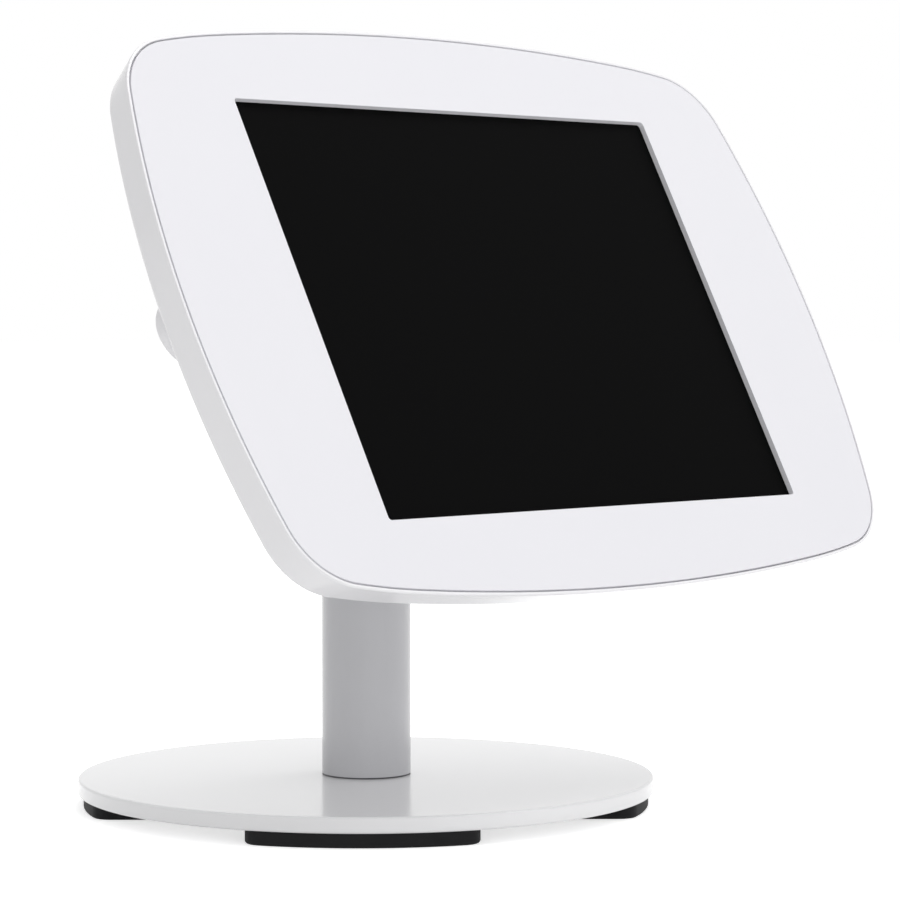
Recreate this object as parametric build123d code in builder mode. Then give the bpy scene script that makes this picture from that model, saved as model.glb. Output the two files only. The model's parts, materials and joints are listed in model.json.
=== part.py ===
"""Countertop tablet kiosk: a bowed enclosure with a lift-off face plate and a cam lock,
on a bent tube post that swivels on a round steel base.

Millimetres, +Z up. The origin is on the swivel axis at the underside of the base plate.
The screen faces -Y, and +X is on the right of a person who looks at it.
"""

import os
from math import acos, atan2, cos, hypot, radians, sin, tan

from build123d import *

# ---------------------------------------------------------------- driving dimensions

# Base plate and its four rubber feet
base_diameter = 201.0
base_thickness = 5.5
base_edge_round = 0.9
foot_height = 5.0
foot_width = 76.6
foot_depth = 34.0
foot_edge_inset = 1.9
foot_corner_round = 7.0
foot_bottom_round = 1.0
foot_headings = {"rear_right": 45.0, "rear_left": 135.0, "front_left": 225.0, "front_right": 315.0}

# Post: one bent steel tube
post_diameter = 31.0
post_wall = 1.5
bend_radius = 45.0
lean_angle = 28.2
screen_height = 169.5
screen_forward = 76.5

# Swivel: hollow spigot, two bushes in a housing, stop collar and ring nuts
spigot_radius = 9.0
spigot_bore_radius = 6.5
spigot_thread_radius = 8.5
spigot_flange_thickness = 4.0
bush_length = 12.0
bush_wall = 1.15
bush_flange_thickness = 1.0
bush_flange_step = 1.0
housing_length = 47.4
wear_ring_thickness = 0.5
wear_ring_width = 1.2
stop_collar_thickness = 3.0
stop_tooth_reach = 2.1
stop_tooth_half_angle = 10.1
stop_pin_radius = 1.0
stop_pin_length = 9.6
stop_pin_stand = 3.6
stop_pin_gap = 0.15
spigot_flat = 7.9
swivel_nut_thickness = 4.0
swivel_nut_wall = 4.0
spigot_end_stand = 1.9
base_nut_thickness = 2.5
base_nut_wall = 5.5
dowel_radius = 1.25
dowel_length = 6.0
nut_slot_width = 3.0
nut_slot_depth = 1.2
nut_slot_count = 4

# Enclosure: borders round the tablet give the outline at the front edge, then its section
side_border = 30.7
top_border = 19.5
side_bow_radius = 340.0
top_bow_radius = 950.4
shoulder_radius = 279.4
shoulder_start_angle = 5.8
corner_radius = 27.1
shell_depth = 15.6
shell_back_inset = 3.7
shell_back_round = 3.0
shell_front_round = 0.7
shell_back_wall = 2.5
rim_width = 1.15
ledge_width = 2.05
rib_thickness = 1.4
rib_height = 2.2
rib_x = 58.0
rib_y = 46.0

# Face plate
plate_thickness = 2.0
plate_edge_round = 0.3
window_side_border = 21.5
window_top_border = 10.35
window_corner_round = 1.2
stud_radius = 1.5
stud_length = 7.0
socket_radius = 3.5
socket_stand = 9.5
corner_stud_side = 9.0
corner_stud_drop = 13.75
middle_stud_x = 55.0
middle_stud_rise = 6.75
stud_end_gap = 0.4

# Tablet
tablet_width = 240.0
tablet_height = 169.5
tablet_thickness = 7.5
tablet_corner_round = 9.0
tablet_back_round = 3.0
tablet_wall = 1.2
glass_thickness = 0.8
glass_rim = 0.9
display_overlap = 3.5
display_thickness = 1.6
battery_margin = 16.0
battery_thickness = 2.8
battery_gap = 5.0
battery_round = 2.0
battery_count = 3
battery_strap_width = 5.0
board_width = 12.0
board_gap = 3.0
board_margin = 8.0
board_thickness = 1.0
board_chip_height = 1.0
board_chip_length = 16.0
board_chip_width = 8.0
board_chip_count = 4

# Corner cushions round the tablet
cushion_size = 26.0
cushion_wall = 3.0
cushion_lip = 4.5

# Hub that joins the tube to the enclosure
hub_radius = 34.0
hub_thickness = 5.0
hub_edge_round = 1.5
collar_wall = 4.0
collar_length = 15.0
tube_seat_depth = 1.9
cable_hole_radius = 12.0
hub_screw_circle = 26.5
hub_screw_count = 4
hub_screw_first_angle = 45.0
hub_screw_radius = 2.0
hub_screw_head_radius = 3.75
hub_screw_reach = 4.3
set_screw_radius = 2.0
set_screw_socket = 1.1
set_screw_depth = 8.0
set_screw_angles = (-50.0, -130.0)

# Cam lock at the left edge of the enclosure
lock_edge_distance = 17.2
boss_radius = 12.7
boss_height = 4.0
boss_round = 0.8
lock_head_radius = 9.6
lock_head_thickness = 2.1
lock_head_recess = 1.8
lock_body_radius = 8.0
lock_body_flat = 7.2
lock_length = 9.7
plug_radius = 5.5
plug_head_radius = 6.5
plug_head_thickness = 1.4
plug_recess = 0.2
plug_square = 5.0
key_slot_length = 7.6
key_slot_width = 1.8
key_slot_depth = 6.0
lock_nut_flats = 20.0
lock_nut_thickness = 2.9
cam_thickness = 1.6
cam_length = 11.0
cam_width = 8.0
cam_hub_radius = 5.6
cam_screw_radius = 1.25
cam_screw_length = 5.0
cam_screw_head_radius = 2.6
cam_screw_head_height = 1.5
cam_screw_socket = 1.0
keeper_width = 12.0
keeper_thickness = 1.5
keeper_foot_length = 10.0
keeper_lip_length = 2.3

# Clearances
running_clearance = 0.05
seat_gap = 0.05
screw_clearance = 0.02
hole_clearance = 0.25
seam_gap = 0.6
stud_clearance = 0.2
spigot_clearance = 0.4
cushion_gap = 0.1
cam_gap = 0.4
edge_chamfer = 0.4

# ---------------------------------------------------------------- derived places

base_radius = base_diameter / 2
post_radius = post_diameter / 2
post_bore_radius = post_radius - post_wall
post_foot = base_thickness + wear_ring_thickness + seat_gap
flange_top = base_thickness + spigot_flange_thickness
lower_bush_foot = flange_top + seat_gap
housing_foot = lower_bush_foot + bush_flange_thickness
housing_top = housing_foot + housing_length
bush_radius = spigot_radius + running_clearance + bush_wall
bush_flange_radius = bush_radius + bush_flange_step
stop_collar_foot = housing_top + bush_flange_thickness + seat_gap
swivel_nut_foot = stop_collar_foot + stop_collar_thickness
spigot_top = swivel_nut_foot + swivel_nut_thickness + spigot_end_stand
stop_pin_circle = bush_flange_radius + stop_pin_gap + stop_pin_radius
spigot_flange_radius = post_bore_radius - spigot_clearance
dowel_circle = (spigot_radius + spigot_flange_radius) / 2

panel_half_width = tablet_width / 2 + side_border
panel_half_height = tablet_height / 2 + top_border
window_width = tablet_width - 2 * window_side_border
window_height = tablet_height - 2 * window_top_border
lock_x = lock_edge_distance - panel_half_width

panel = Plane(
    origin=(0, -screen_forward, screen_height),
    x_dir=(1, 0, 0),
    z_dir=(0, -cos(radians(lean_angle)), sin(radians(lean_angle))),
)
front_axis = Axis(panel.origin, panel.z_dir)
neck_corner_z = screen_height - screen_forward * tan(radians(lean_angle))

plate_inset = rim_width + seam_gap
cavity_inset = rim_width + ledge_width
ledge_depth = plate_thickness + seat_gap
floor_depth = shell_depth - shell_back_wall
draft_per_depth = shell_back_inset / shell_depth
tablet_front = plate_thickness + 3 * seat_gap
tablet_back_depth = tablet_front + tablet_thickness
hub_back = shell_depth + hub_thickness
tube_end_depth = shell_depth + tube_seat_depth
boss_back = shell_depth + boss_height
lock_head_seat = boss_back - lock_head_recess
lock_head_back = lock_head_seat + lock_head_thickness
lock_inner_end = lock_head_seat - lock_length
cam_back = lock_inner_end - 2 * seat_gap
cam_front = cam_back - cam_thickness
corner_stud_x = tablet_width / 2 + corner_stud_side
corner_stud_y = tablet_height / 2 - corner_stud_drop
middle_stud_y = tablet_height / 2 + middle_stud_rise
stud_places = [(x, y) for x in (-corner_stud_x, corner_stud_x) for y in (-corner_stud_y, corner_stud_y)]
stud_places += [(x, y) for x in (-middle_stud_x, middle_stud_x) for y in (-middle_stud_y, middle_stud_y)]


def panel_plane(depth, x=0.0, y=0.0):
    """Plane parallel to the enclosure's front, depth behind it, centred at x and y."""
    return Plane(panel.from_local_coords((x, y, -depth)), x_dir=panel.x_dir, z_dir=panel.z_dir)


def panel_outline(inset):
    """Outline of the enclosure's front, moved inwards by inset: twelve tangent arcs.

    The long top and bottom bows tighten into a shoulder arc at each end. Each corner arc
    touches a shoulder and a bowed side from inside, so its centre lies where two circles
    about the centres of those arcs cross.
    """
    start = radians(shoulder_start_angle)
    side_centre_x = panel_half_width - side_bow_radius
    top_centre_y = panel_half_height - top_bow_radius
    shoulder_x = (top_bow_radius - shoulder_radius) * sin(start)
    shoulder_y = top_centre_y + (top_bow_radius - shoulder_radius) * cos(start)
    side_reach = side_bow_radius - corner_radius
    shoulder_reach = shoulder_radius - corner_radius
    apart = hypot(shoulder_x - side_centre_x, shoulder_y)
    along = (side_reach**2 - shoulder_reach**2 + apart**2) / (2 * apart)
    side_angle = atan2(shoulder_y, shoulder_x - side_centre_x) + acos(along / side_reach)
    corner_x = side_centre_x + side_reach * cos(side_angle)
    corner_y = side_reach * sin(side_angle)
    corner_angle = atan2(corner_y - shoulder_y, corner_x - shoulder_x)
    bow_end_angle = radians(90) - start

    def rim_point(centre, radius, angle):
        return (centre[0] + (radius - inset) * cos(angle), centre[1] + (radius - inset) * sin(angle))

    side_end = rim_point((corner_x, corner_y), corner_radius, side_angle)
    corner_mid = rim_point((corner_x, corner_y), corner_radius, (side_angle + corner_angle) / 2)
    corner_end = rim_point((corner_x, corner_y), corner_radius, corner_angle)
    shoulder_mid = rim_point((shoulder_x, shoulder_y), shoulder_radius, (corner_angle + bow_end_angle) / 2)
    bow_end = rim_point((shoulder_x, shoulder_y), shoulder_radius, bow_end_angle)
    with BuildSketch() as outline:
        with BuildLine():
            for x_side in (-1, 1):
                ThreePointArc(
                    (x_side * side_end[0], -side_end[1]),
                    (x_side * (panel_half_width - inset), 0),
                    (x_side * side_end[0], side_end[1]),
                )
                for y_side in (-1, 1):
                    ThreePointArc(
                        (x_side * side_end[0], y_side * side_end[1]),
                        (x_side * corner_mid[0], y_side * corner_mid[1]),
                        (x_side * corner_end[0], y_side * corner_end[1]),
                    )
                    ThreePointArc(
                        (x_side * corner_end[0], y_side * corner_end[1]),
                        (x_side * shoulder_mid[0], y_side * shoulder_mid[1]),
                        (x_side * bow_end[0], y_side * bow_end[1]),
                    )
            for y_side in (-1, 1):
                ThreePointArc(
                    (-bow_end[0], y_side * bow_end[1]),
                    (0, y_side * (panel_half_height - inset)),
                    (bow_end[0], y_side * bow_end[1]),
                )
        make_face()
    return outline.sketch


def save(builder, name):
    """Write one finished sub-part as its own STEP file."""
    builder.part.label = name
    export_step(builder.part, f"parts/{name}.step")


os.makedirs("parts", exist_ok=True)

# ---------------------------------------------------------------- base

with BuildPart() as base_plate:
    with BuildSketch(Plane.XY):
        Circle(base_radius)
    extrude(amount=base_thickness)
    fillet(base_plate.edges(), base_edge_round)
    with BuildSketch(Plane.XY):
        Circle(spigot_radius + screw_clearance)
        with Locations((0, dowel_circle)):
            Circle(dowel_radius)
    extrude(amount=base_thickness, mode=Mode.SUBTRACT)
    with BuildSketch(Plane.XY):
        Circle(spigot_radius + base_nut_wall + hole_clearance)
    extrude(amount=base_nut_thickness, mode=Mode.SUBTRACT)
save(base_plate, "base_plate")

for place, heading in foot_headings.items():
    foot_plane = Plane((0, 0, -foot_height)).rotated((0, 0, heading))
    with BuildPart() as foot:
        with BuildSketch(foot_plane):
            Circle(base_radius - foot_edge_inset)
            with Locations((base_radius - foot_edge_inset - foot_depth / 2, 0)):
                Rectangle(foot_depth, foot_width, mode=Mode.INTERSECT)
        extrude(amount=foot_height)
        fillet(foot.edges().filter_by(Axis.Z), foot_corner_round)
        fillet(foot.edges().group_by(Axis.Z)[0], foot_bottom_round)
    save(foot, f"foot_{place}")

# ---------------------------------------------------------------- swivel, base side

with BuildPart() as swivel_spigot:
    with BuildSketch(Plane.XY):
        Circle(spigot_radius)
    extrude(amount=stop_collar_foot)
    with BuildSketch(Plane.XY.offset(base_thickness)):
        Circle(spigot_flange_radius)
    extrude(amount=spigot_flange_thickness)
    with BuildSketch(Plane.XY.offset(stop_collar_foot)):
        Circle(spigot_thread_radius)
        with Locations((0, spigot_flat + spigot_thread_radius)):
            Rectangle(2 * spigot_thread_radius, 2 * spigot_thread_radius, mode=Mode.SUBTRACT)
    extrude(amount=spigot_top - stop_collar_foot)
    with BuildSketch(Plane.XY):
        Circle(spigot_bore_radius)
    extrude(amount=spigot_top, mode=Mode.SUBTRACT)
    with BuildSketch(Plane.XY.offset(base_thickness)):
        with Locations((0, dowel_circle)):
            Circle(dowel_radius)
    extrude(amount=base_nut_thickness + dowel_length - base_thickness, mode=Mode.SUBTRACT)
save(swivel_spigot, "swivel_spigot")

with BuildPart() as base_dowel:
    with BuildSketch(Plane.XY.offset(base_nut_thickness)):
        with Locations((0, dowel_circle)):
            Circle(dowel_radius - screw_clearance)
    extrude(amount=dowel_length)
save(base_dowel, "base_dowel")

# Two slotted ring nuts: one under the base plate, one on top of the stop collar
ring_nuts = {
    "base_nut": (0, base_nut_thickness, spigot_radius, base_nut_wall),
    "swivel_nut": (swivel_nut_foot, swivel_nut_thickness, spigot_thread_radius, swivel_nut_wall),
}
for name, (foot_z, thickness, thread_radius, wall) in ring_nuts.items():
    with BuildPart() as ring_nut:
        with BuildSketch(Plane.XY.offset(foot_z)):
            Circle(thread_radius + wall)
            Circle(thread_radius + screw_clearance, mode=Mode.SUBTRACT)
            with PolarLocations(thread_radius + wall, nut_slot_count):
                Rectangle(2 * nut_slot_depth, nut_slot_width, mode=Mode.SUBTRACT)
        extrude(amount=thickness)
    save(ring_nut, name)

with BuildPart() as wear_ring:
    with BuildSketch(Plane.XY.offset(base_thickness)):
        Circle(post_radius - seat_gap)
        Circle(post_radius - seat_gap - wear_ring_width, mode=Mode.SUBTRACT)
    extrude(amount=wear_ring_thickness)
save(wear_ring, "wear_ring")

with BuildPart() as stop_collar:
    tooth_radius = bush_flange_radius + stop_tooth_reach
    tooth_side = 2 * tooth_radius * tan(radians(stop_tooth_half_angle))
    with BuildSketch(Plane.XY.offset(stop_collar_foot)):
        Circle(tooth_radius)
        Polygon(
            (0, 0),
            (tooth_side, 2 * tooth_radius),
            (-tooth_side, 2 * tooth_radius),
            align=None,
            mode=Mode.INTERSECT,
        )
        Circle(bush_flange_radius)
    extrude(amount=stop_collar_thickness)
    with BuildSketch(Plane.XY.offset(stop_collar_foot)):
        Circle(spigot_thread_radius + screw_clearance)
        with Locations((0, spigot_flat + screw_clearance + spigot_thread_radius)):
            Rectangle(2 * spigot_thread_radius, 2 * spigot_thread_radius, mode=Mode.SUBTRACT)
    extrude(amount=stop_collar_thickness, mode=Mode.SUBTRACT)
save(stop_collar, "stop_collar")

# ---------------------------------------------------------------- swivel, post side

bushes = {
    "lower_bush": (lower_bush_foot, housing_foot),
    "upper_bush": (housing_top, housing_top - bush_length),
}
for name, (flange_foot, sleeve_foot) in bushes.items():
    with BuildPart() as bush:
        with BuildSketch(Plane.XY.offset(flange_foot)):
            Circle(bush_flange_radius)
        extrude(amount=bush_flange_thickness)
        with BuildSketch(Plane.XY.offset(sleeve_foot)):
            Circle(bush_radius)
        extrude(amount=bush_length)
        with BuildSketch(Plane.XY.offset(min(flange_foot, sleeve_foot))):
            Circle(spigot_radius + running_clearance)
        extrude(amount=bush_length + bush_flange_thickness, mode=Mode.SUBTRACT)
    save(bush, name)

with BuildPart() as bearing_housing:
    with BuildSketch(Plane.XY.offset(housing_foot)):
        Circle(post_bore_radius)
        Circle(bush_radius, mode=Mode.SUBTRACT)
    extrude(amount=housing_length)
    with BuildSketch(Plane.XY.offset(housing_top)):
        with Locations((0, -stop_pin_circle)):
            Circle(stop_pin_radius + screw_clearance)
    extrude(amount=stop_pin_stand - stop_pin_length, mode=Mode.SUBTRACT)
save(bearing_housing, "bearing_housing")

with BuildPart() as stop_pin:
    with BuildSketch(Plane.XY.offset(housing_top + stop_pin_stand - stop_pin_length)):
        with Locations((0, -stop_pin_circle)):
            Circle(stop_pin_radius)
    extrude(amount=stop_pin_length)
save(stop_pin, "stop_pin")

with BuildPart() as post_tube:
    tube_end = panel.from_local_coords((0, 0, -tube_end_depth))
    with BuildLine(Plane.YZ):
        FilletPolyline((0, post_foot), (0, neck_corner_z), (tube_end.Y, tube_end.Z), radius=bend_radius)
    with BuildSketch(Plane.XY.offset(post_foot)):
        Circle(post_radius)
        Circle(post_bore_radius, mode=Mode.SUBTRACT)
    sweep()
save(post_tube, "post_tube")

# ---------------------------------------------------------------- hub on the enclosure


def collar_plane(angle, depth, radius):
    """Plane on the hub collar's outside, facing outwards at an angle about its axis."""
    across = cos(radians(angle)) * panel.x_dir + sin(radians(angle)) * panel.y_dir
    centre = panel_plane(depth).origin + radius * across
    return Plane(centre, x_dir=panel.z_dir, z_dir=across)


collar_radius = post_radius + running_clearance + collar_wall
with BuildPart() as hub_plate:
    with BuildSketch(panel_plane(shell_depth)):
        Circle(hub_radius)
    extrude(amount=-hub_thickness)
    fillet(hub_plate.edges().group_by(front_axis)[0], hub_edge_round)
    with BuildSketch(panel_plane(shell_depth)):
        Circle(cable_hole_radius)
    extrude(amount=-tube_seat_depth, mode=Mode.SUBTRACT)
    with BuildSketch(panel_plane(tube_end_depth)):
        Circle(post_radius + running_clearance)
    extrude(amount=tube_end_depth - hub_back, mode=Mode.SUBTRACT)
    with BuildSketch(panel_plane(shell_depth)):
        with PolarLocations(hub_screw_circle, hub_screw_count, start_angle=hub_screw_first_angle):
            Circle(hub_screw_radius + screw_clearance)
    extrude(amount=-hub_screw_reach, mode=Mode.SUBTRACT)
save(hub_plate, "hub_plate")

with BuildPart() as hub_collar:
    with BuildSketch(panel_plane(hub_back)):
        Circle(collar_radius)
    extrude(amount=-collar_length)
    fillet(hub_collar.edges().group_by(front_axis)[0], edge_chamfer)
    with BuildSketch(panel_plane(hub_back)):
        Circle(post_radius + running_clearance)
    extrude(amount=-collar_length, mode=Mode.SUBTRACT)
    for angle in set_screw_angles:
        with BuildSketch(collar_plane(angle, set_screw_depth + hub_back, collar_radius)):
            Circle(set_screw_radius + screw_clearance)
        extrude(amount=-2 * collar_wall, mode=Mode.SUBTRACT)
save(hub_collar, "hub_collar")

with BuildPart() as collar_set_screws:
    for angle in set_screw_angles:
        with BuildSketch(collar_plane(angle, set_screw_depth + hub_back, collar_radius - edge_chamfer)):
            Circle(set_screw_radius)
        extrude(amount=edge_chamfer - collar_wall)
        with BuildSketch(collar_plane(angle, set_screw_depth + hub_back, collar_radius - edge_chamfer)):
            RegularPolygon(set_screw_socket, 6)
        extrude(amount=-collar_wall / 2, mode=Mode.SUBTRACT)
save(collar_set_screws, "collar_set_screws")

with BuildPart() as hub_screws:
    head_height = hub_screw_head_radius - hub_screw_radius
    with Locations(panel_plane(floor_depth + head_height)):
        with PolarLocations(hub_screw_circle, hub_screw_count, start_angle=hub_screw_first_angle):
            Cone(
                hub_screw_radius,
                hub_screw_head_radius,
                head_height,
                align=(Align.CENTER, Align.CENTER, Align.MIN),
            )
    with BuildSketch(panel_plane(floor_depth + head_height)):
        with PolarLocations(hub_screw_circle, hub_screw_count, start_angle=hub_screw_first_angle):
            Circle(hub_screw_radius)
    extrude(amount=floor_depth + head_height - shell_depth - hub_screw_reach + hole_clearance)
    with BuildSketch(panel_plane(floor_depth)):
        with PolarLocations(hub_screw_circle, hub_screw_count, start_angle=hub_screw_first_angle):
            RegularPolygon(set_screw_socket, 6)
    extrude(amount=-head_height / 2, mode=Mode.SUBTRACT)
save(hub_screws, "hub_screws")

# ---------------------------------------------------------------- enclosure


def inner_inset(depth):
    """How far inside the shell's front outline its inner wall lies at a depth."""
    return cavity_inset + draft_per_depth * depth


with BuildPart() as rear_shell:
    with BuildSketch(panel):
        add(panel_outline(0))
    with BuildSketch(panel_plane(shell_depth)):
        add(panel_outline(shell_back_inset))
    loft()
    fillet(rear_shell.edges().group_by(front_axis)[0], shell_back_round)
    fillet(rear_shell.edges().group_by(front_axis)[-1], shell_front_round)
    with BuildSketch(panel_plane(shell_depth - shell_back_round, lock_x)):
        Circle(boss_radius)
    extrude(amount=-shell_back_round - boss_height)
    fillet(rear_shell.edges().group_by(front_axis)[0], boss_round)
    with BuildSketch(panel):
        add(panel_outline(rim_width))
    extrude(amount=-ledge_depth, mode=Mode.SUBTRACT)
    for depth in (ledge_depth, floor_depth):
        with BuildSketch(panel_plane(depth)):
            add(panel_outline(inner_inset(depth)))
    loft(mode=Mode.SUBTRACT)
    # stiffening ribs on the floor, kept inside the walls
    with BuildSketch(panel_plane(floor_depth)):
        with Locations((-rib_x, 0), (rib_x, 0)):
            Rectangle(rib_thickness, tablet_height)
        with Locations((0, -rib_y), (0, rib_y)):
            Rectangle(tablet_width, rib_thickness)
    extrude(amount=rib_height)
    # sockets for the face plate's studs
    with BuildSketch(panel_plane(floor_depth)):
        with Locations(*stud_places):
            Circle(socket_radius)
    extrude(amount=socket_stand)
    socket_front = floor_depth - socket_stand
    stud_tip = plate_thickness + stud_length
    with BuildSketch(panel_plane(socket_front)):
        with Locations(*stud_places):
            Circle(stud_radius + stud_clearance)
    extrude(amount=socket_front - stud_tip - stud_end_gap, mode=Mode.SUBTRACT)
    # cable hole and hub screws
    with BuildSketch(panel_plane(floor_depth)):
        Circle(cable_hole_radius)
        with PolarLocations(hub_screw_circle, hub_screw_count, start_angle=hub_screw_first_angle):
            Circle(hub_screw_radius + hole_clearance)
    extrude(amount=-shell_back_wall, mode=Mode.SUBTRACT)
    with Locations(panel_plane(floor_depth + head_height)):
        with PolarLocations(hub_screw_circle, hub_screw_count, start_angle=hub_screw_first_angle):
            Cone(
                hub_screw_radius + screw_clearance,
                hub_screw_head_radius + screw_clearance,
                head_height,
                align=(Align.CENTER, Align.CENTER, Align.MIN),
                mode=Mode.SUBTRACT,
            )
    # seat and flatted hole of the lock
    with BuildSketch(panel_plane(boss_back, lock_x)):
        Circle(lock_head_radius + running_clearance)
    extrude(amount=lock_head_recess, mode=Mode.SUBTRACT)
    with BuildSketch(panel_plane(boss_back, lock_x)):
        Circle(lock_body_radius + running_clearance)
        Rectangle(
            2 * lock_head_radius,
            2 * (lock_body_flat + running_clearance),
            mode=Mode.INTERSECT,
        )
    extrude(amount=boss_back - floor_depth, mode=Mode.SUBTRACT)
save(rear_shell, "rear_shell")

with BuildPart() as face_plate:
    with BuildSketch(panel):
        add(panel_outline(plate_inset))
    extrude(amount=-plate_thickness)
    fillet(face_plate.edges().group_by(front_axis)[-1], plate_edge_round)
    with BuildSketch(panel):
        RectangleRounded(window_width, window_height, window_corner_round)
    extrude(amount=-plate_thickness, mode=Mode.SUBTRACT)
    with BuildSketch(panel_plane(plate_thickness)):
        with Locations(*stud_places):
            Circle(stud_radius)
    extrude(amount=-stud_length)
save(face_plate, "face_plate")

# ---------------------------------------------------------------- tablet

with BuildPart() as tablet_back:
    with BuildSketch(panel_plane(tablet_front)):
        RectangleRounded(tablet_width, tablet_height, tablet_corner_round)
    extrude(amount=-tablet_thickness)
    fillet(tablet_back.edges().group_by(front_axis)[0], tablet_back_round)
    with BuildSketch(panel_plane(tablet_front)):
        RectangleRounded(
            tablet_width - 2 * glass_rim,
            tablet_height - 2 * glass_rim,
            tablet_corner_round - glass_rim,
        )
    extrude(amount=-glass_thickness, mode=Mode.SUBTRACT)
    inner_edge = tablet_back_round + tablet_wall
    with BuildSketch(panel_plane(tablet_front + glass_thickness)):
        RectangleRounded(
            tablet_width - 2 * inner_edge,
            tablet_height - 2 * inner_edge,
            tablet_corner_round - tablet_back_round,
        )
    extrude(amount=glass_thickness + tablet_wall - tablet_thickness, mode=Mode.SUBTRACT)
save(tablet_back, "tablet_back")

with BuildPart() as tablet_glass:
    glass_inset = glass_rim + screw_clearance
    with BuildSketch(panel_plane(tablet_front)):
        RectangleRounded(
            tablet_width - 2 * glass_inset,
            tablet_height - 2 * glass_inset,
            tablet_corner_round - glass_inset,
        )
    extrude(amount=-glass_thickness)
save(tablet_glass, "tablet_glass")

display_front = tablet_front + glass_thickness
with BuildPart() as display_panel:
    with BuildSketch(panel_plane(display_front)):
        Rectangle(window_width + 2 * display_overlap, window_height + 2 * display_overlap)
    extrude(amount=-display_thickness)
save(display_panel, "display_panel")

# The board stands along the left wall, and the cells share the rest of the width
tablet_floor = tablet_back_depth - tablet_wall
board_x = inner_edge + board_gap + (board_width - tablet_width) / 2
board_height = tablet_height - 2 * (inner_edge + board_margin)
battery_row = tablet_width - 2 * inner_edge - board_width - 3 * board_gap
battery_row_x = (board_width + board_gap) / 2
battery_pitch = (battery_row + battery_gap) / battery_count
with BuildPart() as battery_pack:
    with BuildSketch(panel_plane(tablet_floor, battery_row_x)):
        with GridLocations(battery_pitch, battery_pitch, battery_count, 1):
            RectangleRounded(
                battery_pitch - battery_gap,
                tablet_height - 2 * (inner_edge + battery_margin),
                battery_round,
            )
    extrude(amount=battery_thickness)
    with BuildSketch(panel_plane(tablet_floor, battery_row_x)):
        Rectangle(battery_row - battery_pitch, battery_strap_width)
    extrude(amount=battery_thickness / 2)
save(battery_pack, "battery_pack")

with BuildPart() as main_board:
    with BuildSketch(panel_plane(tablet_floor, board_x)):
        Rectangle(board_width, board_height)
    extrude(amount=board_thickness)
    with BuildSketch(panel_plane(tablet_floor - board_thickness, board_x)):
        chip_pitch = board_height / board_chip_count
        with GridLocations(chip_pitch, chip_pitch, 1, board_chip_count):
            Rectangle(board_chip_width, board_chip_length)
    extrude(amount=board_chip_height)
save(main_board, "main_board")

# Four soft corner pieces hold the tablet off the shell's floor and centred in it
for side, x_side in (("left", -1), ("right", 1)):
    for row, y_side in (("bottom", -1), ("top", 1)):
        with BuildPart() as cushion:
            corner_x = x_side * (tablet_width / 2 + cushion_wall - cushion_size / 2)
            corner_y = y_side * (tablet_height / 2 + cushion_wall - cushion_size / 2)
            with BuildSketch(panel_plane(floor_depth, corner_x, corner_y)):
                Rectangle(cushion_size, cushion_size)
            extrude(amount=floor_depth - tablet_back_depth + cushion_lip)
            with BuildSketch(panel_plane(tablet_back_depth + cushion_gap)):
                RectangleRounded(
                    tablet_width + 2 * cushion_gap,
                    tablet_height + 2 * cushion_gap,
                    tablet_corner_round + cushion_gap,
                )
            extrude(amount=tablet_thickness, mode=Mode.SUBTRACT)
        save(cushion, f"cushion_{row}_{side}")

# ---------------------------------------------------------------- lock

with BuildPart() as lock_barrel:
    with BuildSketch(panel_plane(lock_head_back, lock_x)):
        Circle(lock_head_radius)
    extrude(amount=lock_head_thickness)
    fillet(lock_barrel.edges().group_by(front_axis)[0], edge_chamfer)
    with BuildSketch(panel_plane(lock_head_seat, lock_x)):
        Circle(lock_body_radius)
        Rectangle(2 * lock_head_radius, 2 * lock_body_flat, mode=Mode.INTERSECT)
    extrude(amount=lock_length)
    with BuildSketch(panel_plane(lock_head_back, lock_x)):
        Circle(plug_head_radius + running_clearance)
    extrude(amount=plug_recess + plug_head_thickness + seat_gap, mode=Mode.SUBTRACT)
    with BuildSketch(panel_plane(lock_head_back, lock_x)):
        Circle(plug_radius + running_clearance)
    extrude(amount=lock_head_back - lock_inner_end, mode=Mode.SUBTRACT)
save(lock_barrel, "lock_barrel")

plug_face = lock_head_back - plug_recess
with BuildPart() as lock_plug:
    with BuildSketch(panel_plane(plug_face, lock_x)):
        Circle(plug_head_radius)
    extrude(amount=plug_head_thickness)
    with BuildSketch(panel_plane(plug_face, lock_x)):
        Circle(plug_radius)
    extrude(amount=plug_face - lock_inner_end)
    with BuildSketch(panel_plane(lock_inner_end, lock_x)):
        Rectangle(plug_square, plug_square)
    extrude(amount=lock_inner_end - cam_front)
    with BuildSketch(panel_plane(plug_face, lock_x)):
        Rectangle(key_slot_width, key_slot_length)
        Circle(key_slot_width)
    extrude(amount=key_slot_depth, mode=Mode.SUBTRACT)
    with BuildSketch(panel_plane(cam_front, lock_x)):
        Circle(cam_screw_radius + screw_clearance)
    extrude(amount=-cam_screw_length, mode=Mode.SUBTRACT)
save(lock_plug, "lock_plug")

with BuildPart() as lock_nut:
    with BuildSketch(panel_plane(floor_depth, lock_x)):
        RegularPolygon(lock_nut_flats / 2, 6, major_radius=False, rotation=30)
        Circle(lock_body_radius + screw_clearance, mode=Mode.SUBTRACT)
    extrude(amount=lock_nut_thickness)
save(lock_nut, "lock_nut")

with BuildPart() as lock_cam:
    with BuildSketch(panel_plane(cam_back, lock_x)):
        Circle(cam_hub_radius)
        with Locations((-cam_length / 2, 0)):
            Rectangle(cam_length, cam_width)
    extrude(amount=cam_thickness)
    fillet(lock_cam.edges().filter_by(front_axis).group_by(Axis.X)[0], cam_width / 4)
    with BuildSketch(panel_plane(cam_back, lock_x)):
        Rectangle(plug_square + 2 * screw_clearance, plug_square + 2 * screw_clearance)
    extrude(amount=cam_thickness, mode=Mode.SUBTRACT)
save(lock_cam, "lock_cam")

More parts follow.
